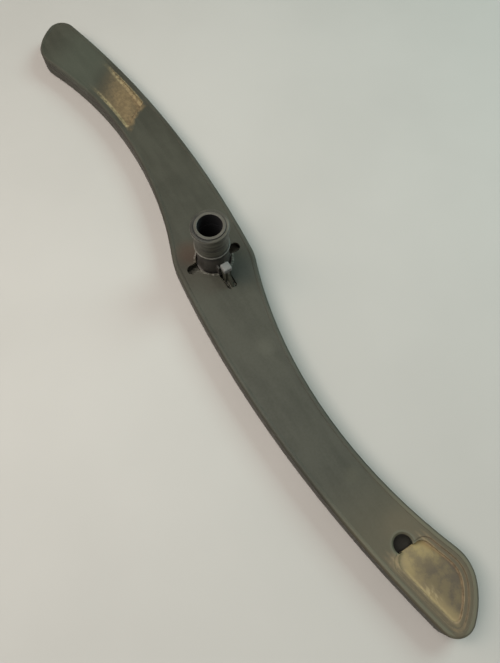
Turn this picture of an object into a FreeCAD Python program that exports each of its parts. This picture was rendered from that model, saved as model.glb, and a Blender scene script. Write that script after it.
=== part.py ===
import FreeCAD, Part
import math
import os

# A dishwasher spray arm, lying on its spray face with the inlet tube upwards.
# Sizes are in millimetres. The origin is on the hub axis at the level of the table,
# +X runs along the arm to the tip with the round mouth, +Z runs up the inlet tube.
# Both halves of the arm have one outline, turned half a turn about the hub axis.

Vector = FreeCAD.Vector

# Outline of one half, seen from above. The tip values count back from the reach.
arm_reach = 231.2            # hub axis to the furthest point of a tip
arm_thickness = 13.0
corner_x = 10.0              # blunt corner beside the hub
corner_y = 22.5
waist_x = 108.0              # where the hollow edge comes nearest to the long axis
waist_y = 3.4
back_x = 70.0                # fullest point of the bulging edge
back_y = -27.4
heel_back = 25.1             # corner between the hollow edge and the bowed tip
heel_y = 21.9
brow_back = 5.0              # a point on the bowed tip
brow_y = 9.6
toe_over = 3.8               # sharp corner of the tip, before it is rounded
toe_y = -7.3
corner_round = 30.0
heel_round = 20.0
toe_round = 10.0

# The two welded half shells.
wall = 2.0
seam_z = 7.5                 # height of the weld seam
edge_bevel = 1.1             # round the face plate and round the spray face
margin_width = 2.6           # smooth border that stands proud round the face
margin_step = 0.3
seam_groove = 0.4            # shadow line above the seam
seam_groove_height = 0.6

# Round mouth and spreading pocket near one tip.
mouth_back = 44.0            # mouth's straight side, back from the tip
mouth_inset = 2.4            # mouth's middle, back from its straight side
mouth_y = -2.0
mouth_r = 4.7
mouth_chamfer = 1.1
pocket_margin = 4.6          # outer edge of the step, in from the outline
pocket_lip = 2.4             # width of the step round the pocket
pocket_end_lip = 0.9         # width of the step beside the mouth
pocket_lip_depth = 0.5
pocket_wall = 1.6
pocket_mouth_depth = 3.4
pocket_floor_depth = 1.9
pocket_tip_depth = 1.3
pocket_ramp = 10.0           # length of the steep part of the floor
pocket_corner_r = 5.0        # the pocket's two corners beside the mouth

# Long ramp and hidden mouth on the other half.
ramp_x = 121.5               # middle of the ramp's slanted end
ramp_y = -9.5
ramp_slant = 38.0            # degrees between the slanted end and a line across the arm
ramp_length = 54.0
ramp_depth = 4.4
ramp_margin = 4.6
ramp_corner_r = 2.5
slit_width = 9.0
slit_height = 2.0
slit_sill = 0.2              # slit's lower edge above the ramp's floor

# Spray nozzles in the face that lies on the table.
nozzle_start = 46.0          # first nozzle of the half with the round mouth
nozzle_pitch = 50.0
nozzle_tip_gap = 20.0        # the last nozzle keeps at least this far from the tip
nozzle_r = 1.5
nozzle_cup_r = 3.2
nozzle_cup_depth = 0.8

# Inlet tube, its bush and its foot ring.
inlet_bore_r = 6.9           # bore of the bush, which takes the feed spigot
water_bore_r = 6.7           # bore of the tube below the bush
tube_height = 34.5           # rim above the arm's face
tube_r = 9.8
rim_r = 10.8
rim_height = 3.2
shoulder_r = 10.4            # flange at the tube's lower end, which bears on the washer
shoulder_height = 1.0
journal_r = 8.1
tube_foot_z = 5.0
foot_bead_r = 8.3
foot_bead_height = 0.35
foot_groove_depth = 0.25
foot_ring_height = 1.5
foot_ring_r = 9.6
bush_wall = 2.0
bush_length = 9.0
bush_proud = 0.3
press_gap = 0.03
edge_chamfer = 0.5

# Collar that is turned and locked in the face shell, and the two slip washers.
run_gap = 0.08               # radial clearance of the journal in the collar
end_gap = 0.15               # axial clearance of the turning tube
collar_height = 15.0         # above the arm's face
collar_r = 9.4
flange_r = 10.4
collar_foot_z = 7.8
washer_height = 0.7
washer_r = 9.7
washer_gap = 0.3
hub_hole_gap = 0.3
foot_bead_rise = 0.5         # raised ring round the hub hole
foot_bead_width = 1.4
slot_width = 6.0
slot_reach = 17.7
lug_gap = 0.3                # between a lug and the slot that it drops through
lug_height = 2.2
lug_play = 0.15              # between a lug and the plate above it
lug_turn = 38.0              # how far the lugs stand past their slots when locked
prop_gap = 0.3               # between the foot ring and the props round it
prop_reach = 17.5
prop_width = 1.6

# Spring latch that stops the collar from turning back.
latch_slot_reach = 23.5
latch_tongue_width = 2.8
latch_tongue_height = 1.8
latch_post_x = 13.6
latch_post_length = 3.6
latch_post_width = 3.6
latch_head_x = 12.6
latch_head_size = 5.2
latch_head_height = 3.5
latch_height = 13.5
latch_rib_width = 1.2
latch_rib_end_gap = 1.0      # rib's foot stops this far short of the slot's end
nib_width = 3.0
nib_foot = 2.0               # nib's lower side above the arm's face
nib_height = 4.0
nib_gap = 0.4
key_width = 1.2
key_foot = 0.8
key_height = 6.2
key_reach = 11.3

# Places that follow from the sizes above.
face_z = arm_thickness
plate_z = face_z - margin_step
plate_under_z = face_z - wall
collar_top_z = face_z + collar_height
shoulder_z = collar_top_z + washer_height + end_gap
rim_top_z = face_z + tube_height
collar_bore_r = journal_r + run_gap
washer_bore_r = journal_r + washer_gap
hub_hole_r = flange_r + hub_hole_gap
foot_ring_z = tube_foot_z + foot_bead_height
thrust_washer_z = collar_foot_z - washer_height
flange_top_z = plate_under_z - lug_play
bush_r = inlet_bore_r + bush_wall
over = 2.0                   # how far cutting tools run past a face
far = arm_reach + 40.0       # a plane beyond the whole arm


def turned(shape, degrees):
    """A copy of the shape turned about the hub axis."""
    copy = shape.copy()
    copy.rotate(Vector(0, 0, 0), Vector(0, 0, 1), degrees)
    return copy


def tube(inner_r, outer_r, low, high):
    """A plain ring on the hub axis."""
    ring = Part.makeCylinder(outer_r, high - low, Vector(0, 0, low))
    hole = Part.makeCylinder(inner_r, high - low, Vector(0, 0, low))
    return ring.cut(hole)


def revolved(points):
    """The solid that an (r, z) profile sweeps about the hub axis."""
    corners = [Vector(r, 0, z) for r, z in points]
    profile = Part.Face(Part.makePolygon(corners + corners[:1]))
    return profile.revolve(Vector(0, 0, 0), Vector(0, 0, 1), 360)


def side_profile(points, low_y, high_y):
    """A prism across the arm with an (x, z) outline."""
    corners = [Vector(x, low_y, z) for x, z in points]
    profile = Part.Face(Part.makePolygon(corners + corners[:1]))
    return profile.extrude(Vector(0, high_y - low_y, 0))


def plan_prism(points, low, high):
    """An upright prism with an (x, y) outline."""
    corners = [Vector(x, y, low) for x, y in points]
    profile = Part.Face(Part.makePolygon(corners + corners[:1]))
    return profile.extrude(Vector(0, 0, high - low))


def slot(width, reach, low, high):
    """A slot from the hub axis along +X with a round end."""
    half = width / 2
    straight = Part.makeBox(reach - half, width, high - low, Vector(0, -half, low))
    end = Part.makeCylinder(half, high - low, Vector(reach - half, 0, low))
    return straight.fuse(end)


class Edge:
    """One arc of the outline: a circle, and whether the arm lies inside it or outside."""

    def __init__(self, points, side):
        circle = Part.Circle(*points)
        self.centre = Vector(circle.Center.x, circle.Center.y, 0)
        self.radius = circle.Radius
        self.side = side

    def turned(self):
        """The same edge on the other half of the arm."""
        copy = Edge.__new__(Edge)
        copy.centre = self.centre * -1
        copy.radius = self.radius
        copy.side = self.side
        return copy


class Corner:
    """The circle that rounds the corner where two edges meet."""

    def __init__(self, first, second, radius, near):
        self.edges = (first, second)
        self.radius = radius
        first_reach = first.radius - first.side * radius
        second_reach = second.radius - second.side * radius
        between = second.centre - first.centre
        span = between.Length
        along = (first_reach ** 2 - second_reach ** 2 + span ** 2) / (2 * span)
        across = math.sqrt(first_reach ** 2 - along ** 2)
        unit = between / span
        foot = first.centre + unit * along
        sideways = Vector(-unit.y, unit.x, 0) * across
        self.centre = min((foot + sideways, foot - sideways), key=near.distanceToPoint)

    def direction(self, edge):
        """Unit vector from the edge's centre through the point where the rounding ends."""
        return (self.centre - edge.centre).normalize()

    def arc(self, inset):
        """The rounding itself, drawn in by the inset."""
        ways = [self.direction(edge) * edge.side for edge in self.edges]
        ways.insert(1, (ways[0] + ways[1]).normalize())
        radius = self.radius - inset
        return Part.Arc(*[self.centre + way * radius for way in ways]).toShape()


# One half of the outline, from the corner beside the hub round the tip to the other side.
hub_corner = Vector(corner_x, corner_y, 0)
waist = Vector(waist_x, waist_y, 0)
heel = Vector(arm_reach - heel_back, heel_y, 0)
brow = Vector(arm_reach - brow_back, brow_y, 0)
toe = Vector(arm_reach + toe_over, toe_y, 0)
back = Vector(back_x, back_y, 0)

hollow_edge = Edge((hub_corner, waist, heel), -1)
tip_edge = Edge((heel, brow, toe), 1)
bulge_edge = Edge((toe, back, hub_corner * -1), 1)

hub_rounding = Corner(bulge_edge.turned(), hollow_edge, corner_round, hub_corner)
heel_rounding = Corner(hollow_edge, tip_edge, heel_round, heel)
toe_rounding = Corner(tip_edge, bulge_edge, toe_round, toe)
end_rounding = Corner(bulge_edge, hollow_edge.turned(), corner_round, hub_corner * -1)


def edge_arc(edge, start, end, inset):
    """The part of an edge between two roundings, drawn in by the inset."""
    ways = [start.direction(edge), end.direction(edge)]
    ways.insert(1, (ways[0] + ways[1]).normalize())
    radius = edge.radius - edge.side * inset
    return Part.Arc(*[edge.centre + way * radius for way in ways]).toShape()


def outline(inset):
    """The arm's outline, drawn in by the inset: six arcs to a half."""
    half = [
        hub_rounding.arc(inset),
        edge_arc(hollow_edge, hub_rounding, heel_rounding, inset),
        heel_rounding.arc(inset),
        edge_arc(tip_edge, heel_rounding, toe_rounding, inset),
        toe_rounding.arc(inset),
        edge_arc(bulge_edge, toe_rounding, end_rounding, inset),
    ]
    return Part.Face(Part.Wire(half + [turned(edge, 180) for edge in half]))


def blank(inset, low, high):
    """The arm's outline, drawn in by the inset, as an upright prism."""
    prism = outline(inset).extrude(Vector(0, 0, high - low))
    prism.translate(Vector(0, 0, low))
    return prism


def upright(edge):
    """Whether an edge of a solid stands upright."""
    ends = [vertex.Point for vertex in edge.Vertexes]
    return len(ends) == 2 and math.hypot(ends[0].x - ends[1].x, ends[0].y - ends[1].y) < 1e-6


def rim_edges(prism, z):
    """The edges round a prism's face at height z."""
    return [edge for edge in prism.Edges if all(abs(v.Z - z) < 1e-6 for v in edge.Vertexes)]


def middle_y(x):
    """Half way between the hollow and the bulging edge at a place along a half."""
    sides = []
    for edge in (hollow_edge, bulge_edge):
        sides.append(edge.centre.y - math.sqrt(edge.radius ** 2 - (x - edge.centre.x) ** 2))
    return sum(sides) / 2


def corner_edges(solid, near_x, span):
    """Upright edges of a pocket that lie within a span of its hub-side end."""
    return [e for e in solid.Edges if upright(e) and abs(e.CenterOfMass.x - near_x) < span]


def mouth_pocket(grow):
    """The spreading pocket beside the round mouth, or its backing, grown by a wall."""
    start = arm_reach - mouth_back
    floor = side_profile(
        [
            (start - grow, face_z + over),
            (start - grow, face_z - pocket_mouth_depth - grow),
            (start + pocket_ramp, face_z - pocket_floor_depth - grow),
            (far, face_z - pocket_tip_depth - grow),
            (far, face_z + over),
        ],
        -far,
        far,
    )
    inner = blank(pocket_margin + pocket_lip - grow, 0, face_z + over)
    pocket = floor.common(inner)
    corners = corner_edges(pocket, start - grow, 1e-3)
    return pocket.makeFillet(pocket_corner_r + grow, corners)


def pocket_step():
    """The shallow step round the spreading pocket."""
    start = arm_reach - mouth_back - pocket_end_lip
    low = plate_z - pocket_lip_depth
    area = blank(pocket_margin, low, face_z + over)
    area = area.cut(Part.makeBox(start + far, far * 2, far, Vector(-far, -far, low - over)))
    return area.makeFillet(pocket_corner_r + pocket_end_lip, corner_edges(area, start, 1e-3))


def round_mouth():
    """The mouth: a bore cut off straight where the pocket starts."""
    start = arm_reach - mouth_back
    centre = Vector(start - mouth_inset, mouth_y, seam_z)
    bore = Part.makeCylinder(mouth_r, far, centre)
    cone_foot = Vector(start - mouth_inset, mouth_y, plate_z - mouth_chamfer)
    high = mouth_chamfer + over
    rim = Part.makeCone(mouth_r, mouth_r + high, high, cone_foot)
    beyond = Part.makeBox(far, far * 2, far * 2, Vector(start, -far, -far))
    return bore.fuse(rim).cut(beyond)


def ramp_pocket(grow):
    """The long ramp of the turned half, deepest at its slanted hub-side end."""
    slant = math.radians(ramp_slant)
    across = Vector(math.sin(slant), -math.cos(slant), 0)
    outward = Vector(math.cos(slant), math.sin(slant), 0)
    middle = Vector(ramp_x, ramp_y, 0) - outward * grow
    one, two = middle + across * far, middle - across * far
    plan = plan_prism(
        [(one.x, one.y), (one.x + far * 2, one.y), (two.x + far * 2, two.y), (two.x, two.y)],
        0,
        face_z + over,
    )
    slope = ramp_depth / ramp_length
    end_x = ramp_x + ramp_length
    deep = face_z - grow - slope * end_x
    high = face_z - grow + slope * far
    floor = side_profile(
        [(0, deep), (end_x + far, high), (end_x + far, high + far), (0, high + far)],
        -far,
        far,
    )
    inner = blank(ramp_margin - grow, 0, face_z + over)
    pocket = plan.common(floor).common(inner)
    corners = corner_edges(pocket, ramp_x, ramp_length / 3)
    return pocket.makeFillet(ramp_corner_r + grow, corners)


def ramp_slit():
    """The flat mouth through the ramp's end wall, square to that wall."""
    depth = pocket_wall + over
    sill_z = face_z - ramp_depth + slit_sill
    slit = Part.makeBox(depth * 2, slit_width, slit_height, Vector(-depth, -slit_width / 2, sill_z))
    slit.rotate(Vector(0, 0, 0), Vector(0, 0, 1), ramp_slant)
    slit.translate(Vector(ramp_x, ramp_y, 0))
    return slit


def make_latch():
    """The spring latch: a tongue in its slot, a ribbed post, a thumb pad and a nib."""
    tongue_end = latch_slot_reach + over
    tongue_z = face_z - latch_tongue_height
    tongue = Part.makeBox(
        tongue_end - latch_post_x,
        latch_tongue_width,
        latch_tongue_height - margin_step,
        Vector(latch_post_x, -latch_tongue_width / 2, tongue_z),
    )
    head_z = face_z + latch_height - latch_head_height
    post = Part.makeBox(
        latch_post_length,
        latch_post_width,
        head_z - tongue_z,
        Vector(latch_post_x, -latch_post_width / 2, tongue_z),
    )
    head = Part.makeBox(
        latch_head_size,
        latch_head_size,
        latch_head_height,
        Vector(latch_head_x, -latch_head_size / 2, head_z),
    )
    head = head.makeChamfer(edge_chamfer, head.Edges)
    rib_foot_x = latch_slot_reach - latch_rib_end_gap
    rib = side_profile(
        [
            (latch_post_x, tongue_z),
            (rib_foot_x, tongue_z),
            (rib_foot_x, plate_z + latch_rib_end_gap),
            (latch_head_x + latch_head_size - edge_chamfer, head_z + edge_chamfer),
            (latch_post_x, head_z + edge_chamfer),
        ],
        -latch_rib_width / 2,
        latch_rib_width / 2,
    )
    nib_x = collar_r + nib_gap
    nib_z = face_z + nib_foot
    nib = side_profile(
        [
            (nib_x, nib_z),
            (latch_post_x + over, nib_z),
            (latch_post_x + over, nib_z + nib_height * 1.5),
            (nib_x, nib_z + nib_height),
        ],
        -nib_width / 2,
        nib_width / 2,
    )
    return tongue.fuse([post, head, rib, nib])


def make_face_shell():
    """The upper moulding: face plate, side lip, both jets, hub slots and spring latch."""
    shell = blank(0, seam_z, face_z)
    shell = shell.makeChamfer(edge_bevel, rim_edges(shell, face_z))
    shell = shell.cut(blank(margin_width, plate_z, face_z + over))
    shell = shell.cut(blank(wall, seam_z - over, plate_under_z))
    groove = Part.makeBox(far * 2, far, seam_groove_height, Vector(-far, -far / 2, seam_z))
    shell = shell.cut(groove.cut(blank(seam_groove, seam_z - over, face_z)))

    below_face = Part.makeBox(far * 2, far, plate_z, Vector(-far, -far / 2, 0))
    shell = shell.fuse(mouth_pocket(pocket_wall).common(below_face))
    shell = shell.cut([mouth_pocket(0), pocket_step(), round_mouth()])
    shell = shell.fuse(turned(ramp_pocket(pocket_wall).common(below_face), 180))
    shell = shell.cut([turned(ramp_pocket(0), 180), turned(ramp_slit(), 180)])

    bead = tube(hub_hole_r, hub_hole_r + foot_bead_width, plate_under_z, plate_z + foot_bead_rise)
    shell = shell.fuse(bead)
    cuts = [Part.makeCylinder(hub_hole_r, far, Vector(0, 0, seam_z))]
    for angle in (0, 90, 270):
        reach = slot_reach if angle else latch_slot_reach
        cuts.append(turned(slot(slot_width, reach, seam_z, face_z + over), angle))
    return shell.cut(cuts).fuse(make_latch()).removeSplitter()


def nozzles(x):
    """A row of spray nozzles from x to the tip: bores with a cup round each mouth."""
    row = []
    while x < arm_reach - nozzle_tip_gap:
        at = Vector(x, middle_y(x), 0)
        row.append(Part.makeCylinder(nozzle_r, wall + over, at))
        row.append(Part.makeCylinder(nozzle_cup_r, nozzle_cup_depth, at))
        x += nozzle_pitch
    return row


def make_spray_shell():
    """The lower moulding: a tray with the nozzles and the props under the hub."""
    tray = blank(0, 0, seam_z)
    tray = tray.makeChamfer(edge_bevel, rim_edges(tray, 0))
    tray = tray.cut(blank(wall, wall, seam_z + over))
    between = nozzles(nozzle_start + nozzle_pitch / 2)
    tray = tray.cut(nozzles(nozzle_start) + [turned(hole, 180) for hole in between])
    prop_x = foot_ring_r + prop_gap
    prop = Part.makeBox(
        prop_reach - prop_x,
        prop_width,
        collar_foot_z - wall / 2,
        Vector(prop_x, -prop_width / 2, wall / 2),
    )
    return tray.fuse([turned(prop, angle) for angle in (45, 135, 225, 315)]).removeSplitter()


def make_bayonet_collar():
    """The bearing collar: sleeve, foot flange, two lugs and the two keys at the latch."""
    body = revolved(
        [
            (collar_bore_r, collar_foot_z),
            (flange_r, collar_foot_z),
            (flange_r, flange_top_z),
            (collar_r, flange_top_z),
            (collar_r, collar_top_z),
            (collar_bore_r, collar_top_z),
        ]
    )
    lug_low = flange_top_z - lug_height
    lug = slot(slot_width - lug_gap * 2, slot_reach - lug_gap, lug_low, flange_top_z)
    lug = lug.cut(Part.makeCylinder(collar_r, far, Vector(0, 0, 0)))
    lugs = [turned(lug, 90 + lug_turn), turned(lug, 270 + lug_turn)]
    keys = []
    for side in (1, -1):
        middle = side * (nib_width / 2 + nib_gap + key_width / 2)
        foot = Vector(0, middle - key_width / 2, face_z + key_foot)
        key = Part.makeBox(key_reach, key_width, key_height, foot)
        keys.append(key.cut(Part.makeCylinder(collar_bore_r, far, Vector(0, 0, 0))))
    return body.fuse(lugs + keys).removeSplitter()


def make_inlet_tube():
    """The inlet tube: rim, bush seat, shoulder flange, journal, ring groove and foot bead."""
    groove_r = journal_r - foot_groove_depth
    groove_top_z = foot_ring_z + foot_ring_height + press_gap
    rim_low_z = rim_top_z - rim_height
    seat_z = rim_top_z + bush_proud - bush_length
    return revolved(
        [
            (water_bore_r, tube_foot_z),
            (groove_r, tube_foot_z),
            (foot_bead_r, foot_ring_z - press_gap),
            (groove_r, foot_ring_z - press_gap),
            (groove_r, groove_top_z),
            (journal_r, groove_top_z),
            (journal_r, shoulder_z),
            (shoulder_r, shoulder_z),
            (shoulder_r, shoulder_z + shoulder_height),
            (tube_r, shoulder_z + shoulder_height),
            (tube_r, rim_low_z),
            (rim_r, rim_low_z),
            (rim_r, rim_top_z - edge_chamfer),
            (rim_r - edge_chamfer, rim_top_z),
            (bush_r + press_gap, rim_top_z),
            (bush_r + press_gap, seat_z),
            (water_bore_r, seat_z),
        ]
    )


def make_mouth_bush():
    """The wear bush pressed into the mouth of the inlet tube."""
    top_z = rim_top_z + bush_proud
    low_z = top_z - bush_length
    return revolved(
        [
            (inlet_bore_r, low_z),
            (bush_r, low_z),
            (bush_r, top_z),
            (inlet_bore_r + bush_proud, top_z),
            (inlet_bore_r, top_z - bush_proud),
        ]
    )


def make_foot_ring():
    """The ring snapped over the tube's foot, which holds the tube in the collar."""
    ring_bore_r = journal_r - foot_groove_depth + press_gap
    return tube(ring_bore_r, foot_ring_r, foot_ring_z, foot_ring_z + foot_ring_height)


def make_washer(low_z):
    """A slip washer that lies against one end of the collar."""
    return tube(washer_bore_r, washer_r, low_z, low_z + washer_height)


parts = {
    "face_shell": make_face_shell(),
    "spray_shell": make_spray_shell(),
    "bayonet_collar": make_bayonet_collar(),
    "inlet_tube": make_inlet_tube(),
    "mouth_bush": make_mouth_bush(),
    "foot_ring": make_foot_ring(),
    "shoulder_washer": make_washer(collar_top_z),
    "thrust_washer": make_washer(thrust_washer_z),
}

os.makedirs("parts", exist_ok=True)
for name, shape in parts.items():
    shape.exportStep(f"parts/{name}.step")
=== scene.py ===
import math

import bpy
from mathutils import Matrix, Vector

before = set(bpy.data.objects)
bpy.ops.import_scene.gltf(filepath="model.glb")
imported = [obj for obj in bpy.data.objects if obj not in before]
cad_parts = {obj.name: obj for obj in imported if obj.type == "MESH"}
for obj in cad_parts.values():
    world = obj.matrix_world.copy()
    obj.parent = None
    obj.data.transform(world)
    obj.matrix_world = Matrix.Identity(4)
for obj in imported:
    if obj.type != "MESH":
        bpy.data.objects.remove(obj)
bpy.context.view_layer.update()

# Spray shell.
# The lower half of the hollow arm, a tray with a row of spray nozzles in each half. Injection
# moulded in polypropylene, butt welded to the face shell, and scuffed where the arm lies on it.
MM = 0.001
PLASTIC_IOR = 1.49


def linear(hex_colour):
    """A colour written as sRGB hex, as the linear values that a shader takes."""
    parts = [int(hex_colour[i:i + 2], 16) / 255 for i in (1, 3, 5)]
    return [p / 12.92 if p <= 0.04045 else ((p + 0.055) / 1.055) ** 2.4 for p in parts] + [1.0]


def add(tree, kind, feeds=None, **settings):
    """Adds one shader node; feeds are values for its sockets, or the nodes that drive them."""
    node = tree.nodes.new("ShaderNode" + kind)
    for name, value in settings.items():
        setattr(node, name, value)
    for name, value in (feeds or {}).items():
        if isinstance(value, bpy.types.Node):
            value = value.outputs[0]
        if isinstance(value, bpy.types.NodeSocket):
            tree.links.new(value, node.inputs[name])
        else:
            node.inputs[name].default_value = value
    return node


def soft(tree, *steps):
    """Multiplies soft steps. A step runs from low to high, or from 0 to 1, as its value goes
    from start to end; a number or an earlier result counts as it is."""
    product = None
    for step in steps:
        if isinstance(step, tuple):
            value, start, end, low, high = step if len(step) == 5 else (*step, 0.0, 1.0)
            feeds = {"Value": value, "From Min": start, "From Max": end, "To Min": low,
                     "To Max": high}
            step = add(tree, "MapRange", feeds, interpolation_type="SMOOTHSTEP")
        if product is None:
            product = step
        else:
            product = add(tree, "Math", {0: product, 1: step}, operation="MULTIPLY")
    return product


def stain(tree, below, above, *steps):
    """Lays one colour over another, as far as the product of the steps says."""
    return add(tree, "MixRGB", {"Fac": soft(tree, *steps), "Color1": below, "Color2": above})


def aged_plastic(name, dark, light, worn, corner_grime_and_shade, rough, grain):
    """A moulded plastic after years of hot water. Its tone is cloudy with a film of lime, worn
    edges are paler, and corners hold grime and painted shade. The mould's grain is really
    0.1 mm, and is given coarser so that it shows. Returns the material and the nodes to build on."""
    cloud_size, streak_size, scuff_size, speck_size = 38 * MM, 7 * MM, 2.2 * MM, 1.3 * MM
    worn_radius, grime_and_shade_reach, grain_depth = 0.45 * MM, 2.6 * MM, 0.05 * MM
    material = bpy.data.materials.new(name)
    material.use_nodes = True
    tree = material.node_tree
    place = add(tree, "TexCoord").outputs["Object"]
    height = add(tree, "SeparateXYZ", {0: place}).outputs["Z"]
    flattened = add(tree, "VectorMath", {0: place, 1: (1, 1, 0)}, operation="MULTIPLY")
    from_hub = add(tree, "VectorMath", {0: flattened}, operation="LENGTH").outputs["Value"]

    clouds = add(tree, "TexNoise", {
        "Vector": place, "Scale": 1 / cloud_size, "Detail": 5.0, "Roughness": 0.62,
    })
    along_arm = add(tree, "Mapping", {"Vector": place, "Scale": (0.16, 1.0, 1.0)})
    streaks = add(tree, "TexNoise", {
        "Vector": along_arm, "Scale": 1 / streak_size, "Detail": 3.0, "Roughness": 0.55,
    })
    drift = soft(tree, (streaks, 0.3, 0.7, -0.12, 0.12))
    film = add(tree, "Math", {0: clouds, 1: drift}, operation="ADD")
    tone = stain(tree, linear(dark), linear(light), (film, 0.3, 0.7))

    rounded = add(tree, "Bevel", {"Radius": worn_radius}, samples=4)
    facing = add(tree, "NewGeometry").outputs["Normal"]
    agreement = add(tree, "VectorMath", {0: rounded, 1: facing}, operation="DOT_PRODUCT")
    flatness = agreement.outputs["Value"]
    scuffs = add(tree, "TexNoise", {
        "Vector": place, "Scale": 1 / scuff_size, "Detail": 4.0, "Roughness": 0.7,
    })
    tone = stain(tree, tone, linear(worn), (flatness, 0.998, 0.9), (scuffs, 0.35, 0.65, 0.2, 0.6))
    # Painted shade with grime: corners and recesses are darkened by how enclosed they are.
    openness = add(tree, "AmbientOcclusion", {"Distance": grime_and_shade_reach}, samples=8).outputs["AO"]
    corners = soft(tree, (openness, 0.6, 0.12, 0.0, 0.6))

    specks = add(tree, "TexNoise", {
        "Vector": place, "Scale": 1 / speck_size, "Detail": 2.0, "Roughness": 0.5,
    })
    eroded = add(tree, "TexNoise", {
        "Vector": place, "Scale": 1 / grain, "Detail": 3.0, "Roughness": 0.6,
    })
    shader = tree.nodes["Principled BSDF"]
    shader.inputs["IOR"].default_value = PLASTIC_IOR
    gloss = soft(tree, (specks, 0.3, 0.7, rough - 0.06, rough + 0.08))
    tree.links.new(gloss.outputs[0], shader.inputs["Roughness"])
    bump = add(tree, "Bump", {
        "Height": eroded, "Normal": rounded, "Strength": 0.35, "Distance": grain_depth,
    })
    tree.links.new(bump.outputs[0], shader.inputs["Normal"])
    return material, tree, {
        "place": place, "height": height, "flattened": flattened, "from_hub": from_hub,
        "clouds": clouds, "streaks": streaks, "scuffs": scuffs, "tone": tone,
        "corners": corners, "corner_grime_and_shade": linear(corner_grime_and_shade), "gloss": gloss, "shader": shader,
    }


def finish(tree, made, tone):
    """Lays the corner grime and painted shade over the finished tone and gives it to the shader.
    """
    tone = stain(tree, tone, made["corner_grime_and_shade"], made["corners"])
    tree.links.new(tone.outputs[0], made["shader"].inputs["Base Color"])


def mould(name, radius, material):
    """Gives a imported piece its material, and rounds its edges as the mould left them."""
    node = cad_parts[name]
    node.data.materials.clear()
    node.data.materials.append(material)
    weld = node.modifiers.new("joined", "WELD")
    weld.merge_threshold = 0.002 * MM
    flat = node.modifiers.new("flat_faces", "DECIMATE")
    flat.decimate_type = "DISSOLVE"
    flat.angle_limit = math.radians(0.5)
    rounding = node.modifiers.new("rounding", "BEVEL")
    rounding.width = radius
    rounding.segments = 3
    rounding.limit_method = "ANGLE"
    rounding.angle_limit = math.radians(30)
    rounding.use_clamp_overlap = False
    rounding.miter_outer = "MITER_ARC"
    node.modifiers.new("even_shading", "WEIGHTED_NORMAL").weight = 100


# Olive grey polypropylene from a spark-eroded mould: an even, slightly waxy half gloss.
polypropylene, tree, made = aged_plastic(
    "moulded_polypropylene", "#33332A", "#3D3C33", "#57544A", "#1C1813", 0.55, 0.5 * MM
)
# Lime lines the hollow under the hub. It is also painted pale as painted light in this shaded
# # hollow, so that it shows through the hub's slots.
tone = stain(tree, made["tone"], linear("#A3A193"),
             (made["height"], 1.0 * MM, 1.8 * MM), (made["from_hub"], 21.5 * MM, 19 * MM))
finish(tree, made, tone)
mould("spray_shell", 0.35 * MM, polypropylene)

# Face shell.
# The upper half: face plate with a proud border, round mouth and spreading pocket, long ramp,
# hub slots and spring latch in one moulding of the same plastic, welded along the side seam.

# The arcs of one half's outline: centre, radius, and 1 where the arm lies within the circle.
HOLLOW_EDGE = ((108.8 * MM, 268.49 * MM, 0), 265.09 * MM, -1)
TIP_EDGE = ((196.28 * MM, -16.72 * MM, 0), 39.85 * MM, 1)
BULGE_EDGE = ((71.3 * MM, 649.26 * MM, 0), 676.66 * MM, 1)
TIP_START = 190 * MM
CORNER_ROUND = 7 * MM
# Heights of the plate, of the step round the pocket and of the latch's thumb pad.
PLATE = 12.7 * MM
POCKET_STEP = 12.2 * MM
THUMB_PAD = 23 * MM
# The step's outer edge, in from the outline, and its width; then the mouth and the ramp's end.
POCKET_MARGIN = 4.6 * MM
POCKET_LIP = 2.4 * MM
POCKET_START = 187.4 * MM
MOUTH = (184.8 * MM, -2 * MM, 0)
MOUTH_R = 4.7 * MM
RAMP_SLANT = math.radians(38)
RAMP_END = 89.9 * MM


def depth_inside(tree, plan, edge):
    """How far a place lies inside one arc of the arm's outline."""
    centre, radius, side = edge
    reach = add(tree, "VectorMath", {0: plan, 1: centre}, operation="DISTANCE").outputs["Value"]
    depth = add(tree, "Math", {0: radius, 1: reach}, operation="SUBTRACT")
    return add(tree, "Math", {0: depth, 1: side}, operation="MULTIPLY")


def spot(tree, plan, centre, radius):
    """A soft round patch on the face."""
    away = add(tree, "VectorMath", {0: plan, 1: centre}, operation="DISTANCE").outputs["Value"]
    return soft(tree, (away, radius, radius * 0.2))


def band(tree, value, middle, width):
    """A soft line where the value is near its middle."""
    away = add(tree, "Math", {0: value, 1: middle}, operation="SUBTRACT")
    away = add(tree, "Math", {0: away}, operation="ABSOLUTE")
    return soft(tree, (away, width, width * 0.3))


def rough_edge(tree, depth, noise, reach):
    """Makes a smooth distance wander by a reach either way."""
    wander = soft(tree, (noise, 0.3, 0.7, -reach, reach))
    return add(tree, "Math", {0: depth, 1: wander}, operation="ADD")


# The same polypropylene, stained tan by detergent and lime where the jets' water dries.
# The crust is duller than the plastic, and it is palest where it creeps up the pockets' sides.
stained, tree, made = aged_plastic(
    "stained_polypropylene", "#34352A", "#3F4035", "#57574A", "#1E1C16", 0.57, 0.5 * MM
)
place, height, flattened, from_hub, clouds, streaks, scuffs = (
    made[part]
    for part in ("place", "height", "flattened", "from_hub", "clouds", "streaks", "scuffs")
)
turned = add(tree, "VectorMath", {0: flattened, 1: (-1, -1, 0)}, operation="MULTIPLY")
along = add(tree, "SeparateXYZ", {0: flattened}).outputs["X"]
across = add(tree, "SeparateXYZ", {0: flattened}).outputs["Y"]
stretched = add(tree, "Mapping", {"Vector": place, "Scale": (0.35, 1.0, 1.0)})
drips = add(tree, "TexNoise", {
    "Vector": stretched, "Scale": 1 / (1.6 * MM), "Detail": 2.0, "Roughness": 0.5,
})
crust = add(tree, "TexNoise", {
    "Vector": place, "Scale": 1 / (8 * MM), "Detail": 5.0, "Roughness": 0.65,
})
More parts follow.
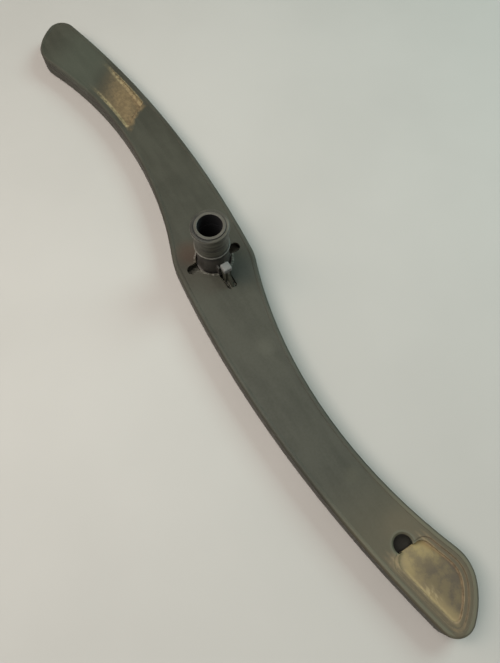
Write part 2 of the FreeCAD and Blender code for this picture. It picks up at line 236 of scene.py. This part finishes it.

# Lime haze with painted sheen, stronger toward the mouth, the smudges and stains that lie on the
# # plate, and painted shadows of the tube on either side of the hub.
# Lime haze and painted sheen: the plate lightens toward the mouth.
tone = stain(tree, made["tone"], linear("#5C5745"), (along, 134 * MM, 188 * MM, 0.0, 0.7))
for centre, radius, strength, colour in (
    ((64 * MM, -5 * MM, 0), 8 * MM, 0.12, "#6C6D5E"),
    ((145 * MM, -4 * MM, 0), 6 * MM, 0.1, "#6E6D58"),
    # Painted shadow of the tube, brown, left of the hub.
    ((-11 * MM, -11 * MM, 0), 12 * MM, 0.75, "#3E2C1C"),
    # Painted shadow of the tube, blue-green, right of the hub.
    ((15 * MM, 10 * MM, 0), 14 * MM, 0.45, "#2A332F"),
    ((178 * MM, 2 * MM, 0), 14 * MM, 0.35, "#635A46"),
):
    smudge_and_shadow_spot = spot(tree, flattened, centre, radius)
    tone = stain(tree, tone, linear(colour), smudge_and_shadow_spot, strength)

# How deep a place lies inside the outline. The tip's arc only counts near the tips.
side_of_hub = add(tree, "Math", {0: along}, operation="SIGN")
either_half = add(tree, "VectorMath", {0: flattened, "Scale": side_of_hub}, operation="SCALE")
reached = add(tree, "SeparateXYZ", {0: either_half}).outputs["X"]
before_tip = add(tree, "Math", {0: TIP_START, 1: reached}, operation="SUBTRACT")
from_tip = depth_inside(tree, either_half, TIP_EDGE)
inside = add(tree, "Math", {0: before_tip, 1: from_tip}, operation="MAXIMUM")
for edge in (HOLLOW_EDGE, BULGE_EDGE):
    feeds = {0: inside, 1: depth_inside(tree, either_half, edge), 2: CORNER_ROUND}
    inside = add(tree, "Math", feeds, operation="SMOOTH_MIN")
ragged = rough_edge(tree, inside, scuffs, 0.5 * MM)

# The proud border is rubbed paler, and the sides below it are painted darker down to the table as
# shade.
tone = stain(tree, tone, linear("#6F6E5B"),
             (inside, 0.8 * MM, 1.2 * MM), (inside, 3.2 * MM, 2.6 * MM),
             (along, 120 * MM, 200 * MM), 0.45)
out_along, out_across = (
    add(tree, "Math", {0: way}, operation="ABSOLUTE") for way in (along, across)
)
by_outline = soft(tree, (inside, 1.5 * MM, 1.1 * MM))
beside_hub = soft(tree, (out_across, 20 * MM, 21 * MM), (out_along, 12 * MM, 9 * MM))
outer = add(tree, "Math", {0: by_outline, 1: beside_hub}, operation="MAXIMUM")
# Painted shade on the side walls below the plate and beside the hub.
tone = stain(tree, tone, linear("#2B251D"),
             (height, PLATE + 0.2 * MM, PLATE - 1.5 * MM, 0.0, 0.8), outer)

# The pocket: a brown step with tan lines along both its edges, and a crusted floor that is
# palest by the mouth and along the bulging side, with bright drip marks.
past_mouth = soft(tree, (along, 181 * MM, 190 * MM))
tone = stain(tree, tone, linear("#5E5543"),
             (ragged, 2.2 * MM, 4.4 * MM), past_mouth, (crust, 0.3, 0.6, 0.5, 0.9))
sunk = soft(tree, (height, POCKET_STEP + 0.1 * MM, POCKET_STEP - 0.3 * MM),
            (along, POCKET_START - 1.2 * MM, POCKET_START))
floor = soft(tree, (ragged, 5.2 * MM, 6.8 * MM), sunk)
patchy = stain(tree, linear("#564D3F"), linear("#6B6046"), (crust, 0.38, 0.58))
tone = stain(tree, tone, patchy, floor, 0.92)
from_bulge = depth_inside(tree, flattened, BULGE_EDGE)
tone = stain(tree, tone, linear("#8C7D5A"),
             floor, (from_bulge, 14 * MM, 8 * MM), (clouds, 0.3, 0.55, 0.5, 0.95))
tone = stain(tree, tone, linear("#938459"),
             floor, (along, 205 * MM, 189 * MM), (crust, 0.35, 0.6, 0.4, 0.95))
for step_edge, colour in (
    (POCKET_MARGIN + 0.1 * MM, "#76684F"), (POCKET_MARGIN + POCKET_LIP + 0.1 * MM, "#8E7D60"),
):
    line = band(tree, inside, step_edge, 0.8 * MM)
    tone = stain(tree, tone, linear(colour), line, past_mouth, (scuffs, 0.35, 0.65, 0.25, 0.9))
crest = band(tree, from_bulge, 7.3 * MM, 1.6 * MM)
tone = stain(tree, tone, linear("#9F8E68"), crest, sunk, (scuffs, 0.35, 0.6, 0.3, 0.9))
marks = spot(tree, flattened, (210 * MM, -6.5 * MM, 0), 8 * MM)
tone = stain(tree, tone, linear("#A59672"), marks, floor, (drips, 0.5, 0.62, 0.0, 0.8))
spill = spot(tree, flattened, (190 * MM, -8 * MM, 0), 7 * MM)
tone = stain(tree, tone, linear("#85775A"),
             spill, (inside, 2 * MM, 5 * MM), (scuffs, 0.3, 0.6, 0.3, 0.7))

# The mouth: its chamfered lip is washed pale, and its bore is painted black as shade.
to_mouth = add(tree, "VectorMath", {0: flattened, 1: MOUTH}, operation="DISTANCE")
from_mouth = to_mouth.outputs["Value"]
before_pocket = soft(tree, (along, POCKET_START, POCKET_START - 0.4 * MM))
lip = band(tree, from_mouth, MOUTH_R + 0.7 * MM, 1.9 * MM)
tone = stain(tree, tone, linear("#646A5B"), lip, before_pocket, (clouds, 0.35, 0.6, 0.3, 0.7))
# Painted shade: the mouth's bore, black.
tone = stain(tree, tone, linear("#1E201B"),
             (from_mouth, MOUTH_R + 0.3 * MM, MOUTH_R - 0.05 * MM), before_pocket)

# The long ramp: a tan bed that fades along the slope and spills past its slanted end, with
# pale ridges of lime along both sides, and a greener stretch of plate beyond it.
feeds = {0: depth_inside(tree, turned, HOLLOW_EDGE), 1: depth_inside(tree, turned, BULGE_EDGE),
         2: CORNER_ROUND}
ramp = add(tree, "Math", feeds, operation="SMOOTH_MIN")
down_ramp = (math.cos(RAMP_SLANT), math.sin(RAMP_SLANT), 0)
slanted = add(tree, "VectorMath", {0: turned, 1: down_ramp}, operation="DOT_PRODUCT")
past_slit = add(tree, "Math", {0: slanted.outputs["Value"], 1: RAMP_END}, operation="SUBTRACT")
ramp_ragged = rough_edge(tree, ramp, scuffs, 0.5 * MM)
slit_ragged = rough_edge(tree, past_slit, crust, 2.0 * MM)
tone = stain(tree, tone, linear("#4E574A"),
             (past_slit, 30 * MM, 48 * MM), (past_slit, 90 * MM, 60 * MM), 0.35)
flecked = stain(tree, linear("#66573C"), linear("#7E6C4C"), (scuffs, 0.35, 0.65))
tone = stain(tree, tone, flecked,
             (slit_ragged, -3.5 * MM, 1.5 * MM), (past_slit, 40 * MM, 16 * MM),
             (ramp_ragged, 3.4 * MM, 6.2 * MM), (streaks, 0.25, 0.55, 0.6, 0.95))
ridges = band(tree, ramp, 5.5 * MM, 2.0 * MM)
tone = stain(tree, tone, linear("#A89B75"),
             ridges, (past_slit, -0.5 * MM, 1.5 * MM), (past_slit, 44 * MM, 20 * MM),
             (scuffs, 0.35, 0.62, 0.25, 0.85))
slit_ridge = band(tree, past_slit, 1.6 * MM, 1.6 * MM)
tone = stain(tree, tone, linear("#958460"),
             slit_ridge, (ramp, 4.5 * MM, 6 * MM), (scuffs, 0.4, 0.65))

# The latch's thumb pad is paler and neutral grey on its top, and the ring round the hub hole is
# scraped.
tone = stain(tree, tone, linear("#7C7D7B"),
             (height, THUMB_PAD - 1.5 * MM, THUMB_PAD + 1 * MM, 0.0, 0.85))
hub_ring = band(tree, from_hub, 11.4 * MM, 1.0 * MM)
tone = stain(tree, tone, linear("#807F76"),
             hub_ring, (height, PLATE - 0.1 * MM, PLATE + 0.4 * MM),
             (scuffs, 0.42, 0.62, 0.0, 0.85))
finish(tree, made, tone)
mould("face_shell", 0.06 * MM, stained)

# Bayonet collar and its washers.
# The fixed sleeve under the inlet tube, locked below the face plate by two lugs, with a slip
# washer at each end. Moulded in a greyer polypropylene, darkened by grease and hard water.
COLLAR_TOP = 28 * MM

# Polypropylene wet with old grease: a darker, slicker grey, with painted shadow close under the
# washer.
collar_plastic, tree, made = aged_plastic(
    "greased_polypropylene", "#3B3935", "#494641", "#5C5953", "#12100E", 0.42, 0.6 * MM
)
# Painted shadow: a dark band under the washer and the tube's flange.
tone = stain(tree, made["tone"], linear("#201F24"),
             (made["height"], COLLAR_TOP - 4.5 * MM, COLLAR_TOP - 1 * MM),
             (made["clouds"], 0.35, 0.6, 0.2, 0.75))
finish(tree, made, tone)
mould("bayonet_collar", 0.15 * MM, collar_plastic)

# Acetal, moulded and slick, greyed by years of grease: a waxy sheen that the eye reads as wet.
washer_acetal, tree, made = aged_plastic(
    "slick_acetal", "#3B3A36", "#484742", "#66645E", "#1A1815", 0.38, 0.8 * MM
)
finish(tree, made, made["tone"])
for name in ("shoulder_washer", "thrust_washer", "foot_ring"):
    mould(name, 0.12 * MM, washer_acetal)

# Inlet tube.
# The tube that plugs into the machine's feed and stays still while the arm turns below it,
# moulded in polypropylene. The foot ring holds it in the collar from below.
RIM_TOP = 47.5 * MM
FLANGE_TOP = 29.85 * MM
FLANGE_R = 10.4 * MM
BUSH_R = 8.9 * MM

# Polypropylene rubbed smooth: a painted soft sheen between the dark rings worn round it, a
# painted
# # highlight along the flange's edge, a dark joint round the bush, and a bore painted black as
# shade.
tube_plastic, tree, made = aged_plastic(
    "rubbed_polypropylene", "#3D3D34", "#4D4C42", "#75736A", "#171612", 0.45, 0.7 * MM
)
height, from_hub = made["height"], made["from_hub"]
round_tube = add(tree, "Mapping", {"Vector": made["place"], "Scale": (0.08, 0.08, 1.0)})
rings = add(tree, "TexNoise", {
    "Vector": round_tube, "Scale": 1 / (1.5 * MM), "Detail": 3.0, "Roughness": 0.6,
})
tone = stain(tree, made["tone"], linear("#2A2A26"), (rings, 0.5, 0.6, 0.0, 0.8))
# Painted sheen: pale bands between the worn rings.
tone = stain(tree, tone, linear("#66655B"), (rings, 0.46, 0.36, 0.0, 0.6))
# Painted highlight along the flange's outer edge, broken by scuffs.
tone = stain(tree, tone, linear("#74736B"),
             (from_hub, FLANGE_R - 0.5 * MM, FLANGE_R - 0.2 * MM),
             (height, FLANGE_TOP + 0.65 * MM, FLANGE_TOP + 0.15 * MM),
             (made["scuffs"], 0.35, 0.6, 0.2, 0.8))
tone = stain(tree, tone, linear("#17161A"),
             (from_hub, BUSH_R + 0.45 * MM, BUSH_R + 0.1 * MM),
             (height, RIM_TOP - 1.5 * MM, RIM_TOP - 0.5 * MM), 0.85)
# Painted shade: the tube's bore, black inside the bush.
painted_dark_bore = soft(tree, (from_hub, BUSH_R + 0.1 * MM, BUSH_R),
             (height, RIM_TOP - 0.2 * MM, RIM_TOP - 0.5 * MM))
tone = stain(tree, tone, linear("#0C0C10"), painted_dark_bore)


def dull(tree, made, painted_dark):
    """Takes the gloss off where a bore is painted black as shade."""
    feeds = {0: made["gloss"], 1: soft(tree, painted_dark, 0.5)}
    dulled = add(tree, "Math", feeds, operation="ADD", use_clamp=True)
    tree.links.new(dulled.outputs[0], made["shader"].inputs["Roughness"])


dull(tree, made, painted_dark_bore)
finish(tree, made, tone)
mould("inlet_tube", 0.25 * MM, tube_plastic)

# Mouth bush.
# The wear ring pressed into the tube's mouth, where the feed spigot slides in. It is moulded in
# acetal and stands just proud of the rim.
BUSH_TOP = 47.8 * MM
BORE_R = 6.9 * MM

# Acetal polished by the spigot: a lip that shines paler than the tube, round a bore painted black
# as shade.
bush_acetal, tree, made = aged_plastic(
    "polished_acetal", "#504F47", "#5E5C54", "#807E75", "#1D1B18", 0.36, 0.8 * MM
)
tone = stain(tree, made["tone"], linear("#17161A"),
             (made["from_hub"], BUSH_R - 0.4 * MM, BUSH_R - 0.1 * MM, 0.0, 0.85))
# Painted shade: the bush's bore, black.
tone = stain(tree, tone, linear("#0E0E12"),
             (made["from_hub"], BORE_R + 0.26 * MM, BORE_R + 0.1 * MM))
# Painted shade: the bush black below its lip, where it sits down in the tube's mouth.
painted_dark_below_lip = soft(tree, (made["height"], BUSH_TOP - 0.2 * MM, BUSH_TOP - 0.6 * MM))
tone = stain(tree, tone, linear("#0C0C10"), painted_dark_below_lip)
dull(tree, made, painted_dark_below_lip)
finish(tree, made, tone)
mould("mouth_bush", 0.15 * MM, bush_acetal)

# Floor, light and camera.
# A matt pale table top, a wide lamp overhead and a softer one at each side, as in a room. The
# camera looks down at the arm as the photo does.
bpy.ops.mesh.primitive_plane_add(size=6)
table = bpy.context.object
table.name = "table_top"
table.location.z = -0.1 * MM
matt_white = bpy.data.materials.new("matt_table_top")
matt_white.use_nodes = True
tree = matt_white.node_tree
wide = add(tree, "TexCoord").outputs["Object"]
mottle = add(tree, "TexNoise", {"Vector": wide, "Scale": 6.0, "Detail": 4.0})  # 170 mm patches
pale = stain(tree, linear("#B8B7B2"), linear("#BEBDB8"), (mottle, 0.3, 0.7))
tree.links.new(pale.outputs[0], tree.nodes["Principled BSDF"].inputs["Base Color"])
tree.nodes["Principled BSDF"].inputs["Roughness"].default_value = 0.7
# Seen from below, and to light that starts where the arm touches it, the table isn't there, so
# the spray face shows when the arm is looked at from underneath.
below = add(tree, "NewGeometry").outputs["Backfacing"]
length = add(tree, "LightPath").outputs["Ray Length"]
touching = add(tree, "Math", {0: length, 1: 0.5 * MM}, operation="LESS_THAN")
unseen = add(tree, "Math", {0: below, 1: touching}, operation="MAXIMUM")
clear = add(tree, "BsdfTransparent")
surface = add(tree, "MixShader", {"Fac": unseen, 1: tree.nodes["Principled BSDF"], 2: clear})
tree.links.new(surface.outputs[0], tree.nodes["Material Output"].inputs["Surface"])
table.data.materials.append(matt_white)

world = bpy.data.worlds.new("room")
world.use_nodes = True
world.node_tree.nodes["Background"].inputs["Color"].default_value = linear("#F2EEEA")
world.node_tree.nodes["Background"].inputs["Strength"].default_value = 0.26
bpy.context.scene.world = world


def softbox(name, place, size, watts, colour):
    """A square lamp that faces the hub."""
    lamp = bpy.data.lights.new(name, "AREA")
    lamp.size = size
    lamp.energy = watts
    lamp.color = linear(colour)[:3]
    holder = bpy.data.objects.new(name, lamp)
    holder.location = place
    holder.rotation_euler = (-Vector(place)).to_track_quat("-Z", "Y").to_euler()
    bpy.context.scene.collection.objects.link(holder)


softbox("overhead_softbox", (-0.04, -0.24, 0.58), 0.5, 3.0, "#FFF8F2")
softbox("left_softbox", (-0.55, -0.6, 0.75), 0.5, 2.6, "#FFE4D4")
softbox("right_softbox", (0.0, 0.85, 0.72), 0.5, 5.4, "#DDFFFC")

photo_height, focal_length, tilt, heading = 663, 518, 68.5, 58.1  # pixels and degrees
lens = bpy.data.cameras.new("camera")
lens.sensor_fit = "VERTICAL"
lens.sensor_height = 36.0
lens.lens = lens.sensor_height * focal_length / photo_height
lens.clip_start = 0.01
camera = bpy.data.objects.new("camera", lens)
camera.location = (142 * MM, -63 * MM, 284 * MM)
camera.rotation_euler = (math.radians(90 - tilt), 0, math.radians(heading))
bpy.context.scene.collection.objects.link(camera)
bpy.context.scene.camera = camera
bpy.context.scene.view_settings.view_transform = "Standard"
